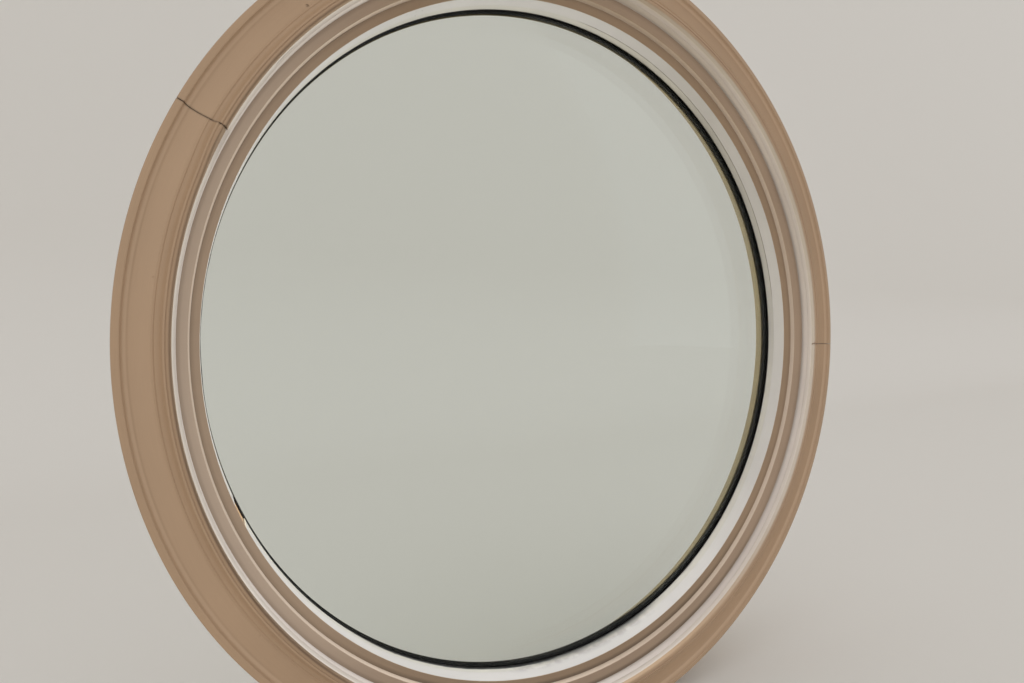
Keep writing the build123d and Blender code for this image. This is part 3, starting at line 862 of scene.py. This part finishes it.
tapeOutline = softened([
    (tape["lip"], tape["lipFront"], 0.25), (tape["seat"], tape["lipFront"], 0), (tape["seat"], glassFace, 0),
    (panes["radius"], glassFace, 0), (panes["radius"], panes["inner"][0], 0),
    (tape["lip"], tape["lipBack"], 0.25)], 5)
dress("inner_glazing_tape", tapeOutline, "butyl", tapeBend, roundAbout(0.35))

spacer = {"inner": 577.0, "outer": 586.0, "front": panes["inner"][1], "back": panes["outer"][0],
          "round": 0.6, "wave": 0.25}


def spacerBend(r, y, angle):
    return r - (r < 578).astype(float) * spacer["wave"] * waver01(angle, 91, 10, 50), y, angle


spacerOutline = softened([
    (spacer["inner"], spacer["front"], spacer["round"]), (spacer["outer"], spacer["front"], 0),
    (spacer["outer"], spacer["back"], 0), (spacer["inner"], spacer["back"], spacer["round"])], 5)
dress("spacer_bar", spacerOutline, "foam", spacerBend)


def pane(name, yLow, yHigh):  # ground edge, faces in rings for the baked colours
    radius, ground, edge = panes["radius"], panes["ground"], panes["edge"]
    rings = [radius * k / panes["rings"] for k in range(1, panes["rings"])]
    outline = [(r, yLow) for r in rings]
    outline += [(radius - ground, yLow), (edge, yLow + ground)]
    outline += [(edge, yHigh - ground), (radius - ground, yHigh)]
    outline += [(r, yHigh) for r in reversed(rings)]
    columns = roundAbout(panes["step"])
    points = [placed(math.radians(a), r, 0, y) for a in columns for r, y in outline]
    points += [(0, yLow / 1000, 0), (0, yHigh / 1000, 0)]
    low, high, across = len(points) - 2, len(points) - 1, len(outline)
    faces = []
    for i in range(len(columns)):
        j = (i + 1) % len(columns)
        faces.append((low, i * across, j * across))
        faces.append((high, j * across + across - 1, i * across + across - 1))
        for k in range(across - 1):
            faces.append((i * across + k, i * across + k + 1, j * across + k + 1, j * across + k))
    return makePiece(name, points, faces)


for which in ("inner", "outer"):
    fitOut(pane(f"{which}_pane_dressed", *panes[which]), f"{which}_pane", "glass")
print("glass set")


# Exterior frame, its nails and the fin

exterior = {"face": 21.85, "edge": 19.0, "arris": 0.6, "tongue": (577.0, -15.1), "tongueBack": -17.1,
            "lip": (627.0, 1.6), "wave": 0.2, "waveY": (-10, 15), "waveR": 612}


def exteriorBend(r, y, angle):
    out = exterior["wave"] * ease(y, *exterior["waveY"]) * waver01(angle, 101, 4, 16)
    return r + out * (r < exterior["waveR"]), y, angle


tongueR, tongueY = exterior["tongue"]
lipR, lipY = exterior["lip"]
exteriorOutline = softened([
    (630.4, exterior["face"], exterior["arris"]), (609.0, exterior["face"], exterior["arris"]),
    (608.0, 21.0, 0.5), (tongueR, tongueY, 0.5),  # the flare
    (tongueR, exterior["tongueBack"], 0.2), (jambInner, exterior["tongueBack"], 0), (jambInner, 0.0, 0),
    (lipR, 0.0, 0), (lipR, lipY, 0), (jambOuter, lipY, 0.2), (jambOuter, exterior["edge"], exterior["arris"])])
dress("exterior_frame", exteriorOutline, "outside", exteriorBend)

nails = {"at": 617.4, "count": 12, "first": 15.0, "top": 22.0, "wide": 1.6, "long": 2.9, "thick": 1.2,
         "neck": 0.2, "shank": 6.0, "dome": (0.02, 0.09)}
points, faces = [], []
for i in range(nails["count"]):
    turn = math.radians(nails["first"] + 360 / nails["count"] * i)
    dome = np.random.default_rng(200 + i).uniform(*nails["dome"])
    under = nails["top"] - nails["thick"]
    neck = under - nails["neck"]
    layers = ((0.55, 0.92, nails["top"]), (1.0, 1.0, nails["top"] - dome), (1.0, 1.0, under),
              (0.55, 0.5, neck), (0.55, 0.5, neck - nails["shank"]))
    base = len(points)
    for wide, long, y in layers:
        for sx, sz in ((-1, -1), (1, -1), (1, 1), (-1, 1)):
            r = nails["at"] + sx * nails["wide"] / 2 * wide
            points.append(placed(turn, r, sz * nails["long"] / 2 * long, y))
    faces.append((base + 3, base + 2, base + 1, base))
    for k in range(len(layers) - 1):
        for s in range(4):
            a, b = base + 4 * k + s, base + 4 * k + (s + 1) % 4
            faces.append((b, b + 4, a + 4, a))
    faces.append(tuple(base + 4 * (len(layers) - 1) + s for s in range(4)))
nailHeads = makePiece("exterior_nails_dressed", points, faces, 40)
fitOut(nailHeads, "exterior_nails", "galvanised")

fin = {"inner": 627.0, "clear": (633.7, 0.3), "thick": 1.6, "round": 0.25, "holes": 16, "holeR": 2.5,
       "pitch": 648.0, "bored": (-3, 5)}
clearR, clearY = fin["clear"]  # a sliver clear of the jamb's end
finOutline = softened([(fin["inner"], clearY, 0), (clearR, clearY, 0), (clearR, 0.0, 0),
                       (trimOuter, 0.0, fin["round"]), (trimOuter, fin["thick"], fin["round"]),
                       (fin["inner"], fin["thick"], 0)])
finPiece = sweep("nail_fin_dressed", finOutline, roundAbout())
cutWith(finPiece, [plug(f"finHole{i}", fin["pitch"], 360 / fin["holes"] * i, fin["holeR"], *fin["bored"],
                        sides=24) for i in range(fin["holes"])])
fitOut(finPiece, "nail_fin", "fin")
print("outside trimmed")


# CAD pieces whose shape is kept

keptLooks = {"casing_nails": "nail", "outer_stop_brads": "nail", "inner_stop_brads": "nail",
             "edge_seal": "seal", "outer_glazing_tape": "butyl", "setting_blocks": "block",
             "side_blocks": "block"}
for node, look in keptLooks.items():
    kept = cadNodes[node]
    if not kept.material_slots:
        kept.data.materials.append(materials[look])
    for slot in kept.material_slots:
        slot.material = materials[look]
print("kept pieces finished:", len(keptLooks))


# Studio: pale sweep, lights, camera

studio = {"floor": cadLow[2], "front": -16.0, "back": 3.0, "side": 16.0, "high": 9.0, "bend": 1.2,
          "pale": (0.84, 0.82, 0.79), "air": (1.0, 0.98, 0.95), "airStrong": 0.73}


def makeSweep():
    back, bend = studio["back"], studio["bend"]
    rows = [(studio["front"], 0.0)]
    rows += [(back - bend + bend * math.sin(t), bend * (1 - math.cos(t)))
             for t in np.linspace(0, math.pi / 2, 13)]
    rows += [(back, studio["high"])]
    points = [(x, y, studio["floor"] + up) for y, up in rows for x in (-studio["side"], studio["side"])]
    faces = [(2 * k, 2 * k + 1, 2 * k + 3, 2 * k + 2) for k in range(len(rows) - 1)]
    floor = makePiece("studio_floor", points, faces, 60)
    m = Recipe("studio_paper")
    fibre = m.noise(m.position, scale=60, detail=3)
    colour = m.tint(fibre * 0.3, studio["pale"], tuple(c * 0.98 for c in studio["pale"]))
    floor.data.materials.append(m.surface(colour, 0.9, fibre, 0.05))
    floor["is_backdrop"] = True


makeSweep()
world = bpy.data.worlds.new("studio_air")
bpy.context.scene.world = world
world.use_nodes = True
world.node_tree.nodes["Background"].inputs["Color"].default_value = (*studio["air"], 1)
world.node_tree.nodes["Background"].inputs["Strength"].default_value = studio["airStrong"]

# Place, aim, width, watts and colour. The glows stand for daylight through the glass: cool from above,
# warm from below.
lamps = {
    "room_soft": ((-1.3, -2.9, 0.3), (0, 0, 0), 2.6, 25, (1.0, 0.96, 0.90)),
    "sky_glow": ((-0.1, 0.9, 0.65), (0, -0.05, -0.3), 0.5, 11, (0.90, 0.90, 1.0)),
    "side_glow": ((0.75, 0.8, 0.2), (-0.5, -0.08, -0.15), 0.5, 33, (0.88, 0.92, 1.0)),
    "left_glow": ((-0.3, 0.62, 0.2), (0.5, -0.08, -0.1), 0.4, 5, (0.90, 0.92, 1.0)),
    "ground_glow": ((0.0, 0.8, -0.3), (0, -0.05, 0.3), 0.5, 4.5, (1.0, 0.86, 0.45)),
}
onWindow = bpy.data.collections.new("lit_window")  # the lamps light the window alone
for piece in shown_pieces():
    onWindow.objects.link(piece)
for name, (at, aim, size, watts, colour) in lamps.items():
    light = bpy.data.lights.new(name, "AREA")
    light.shape, light.size, light.energy, light.color = "DISK", size, watts, colour
    lamp = bpy.data.objects.new(name, light)
    lamp.location = at
    lamp.rotation_euler = (Vector(aim) - Vector(at)).to_track_quat("-Z", "Y").to_euler()
    lamp.visible_camera = lamp.visible_glossy = False
    lamp.light_linking.receiver_collection = onWindow
    bpy.context.scene.collection.objects.link(lamp)

eye = {"at": (-0.566, -0.859, 0.024), "yaw": 29.02, "pitch": -1.309, "lens": 19.16, "sensor": 36.0,
       "near": 0.01}
camera = bpy.data.cameras.new("photo_angle")
camera.sensor_fit, camera.sensor_width = "HORIZONTAL", eye["sensor"]
camera.lens, camera.clip_start = eye["lens"], eye["near"]
viewer = bpy.data.objects.new("photo_angle", camera)
viewer.location = eye["at"]
viewer.rotation_euler = (math.radians(90 + eye["pitch"]), 0, -math.radians(eye["yaw"]))
bpy.context.scene.collection.objects.link(viewer)
bpy.context.scene.camera = viewer
bpy.context.scene.view_settings.view_transform = "Standard"
print("studio lit")
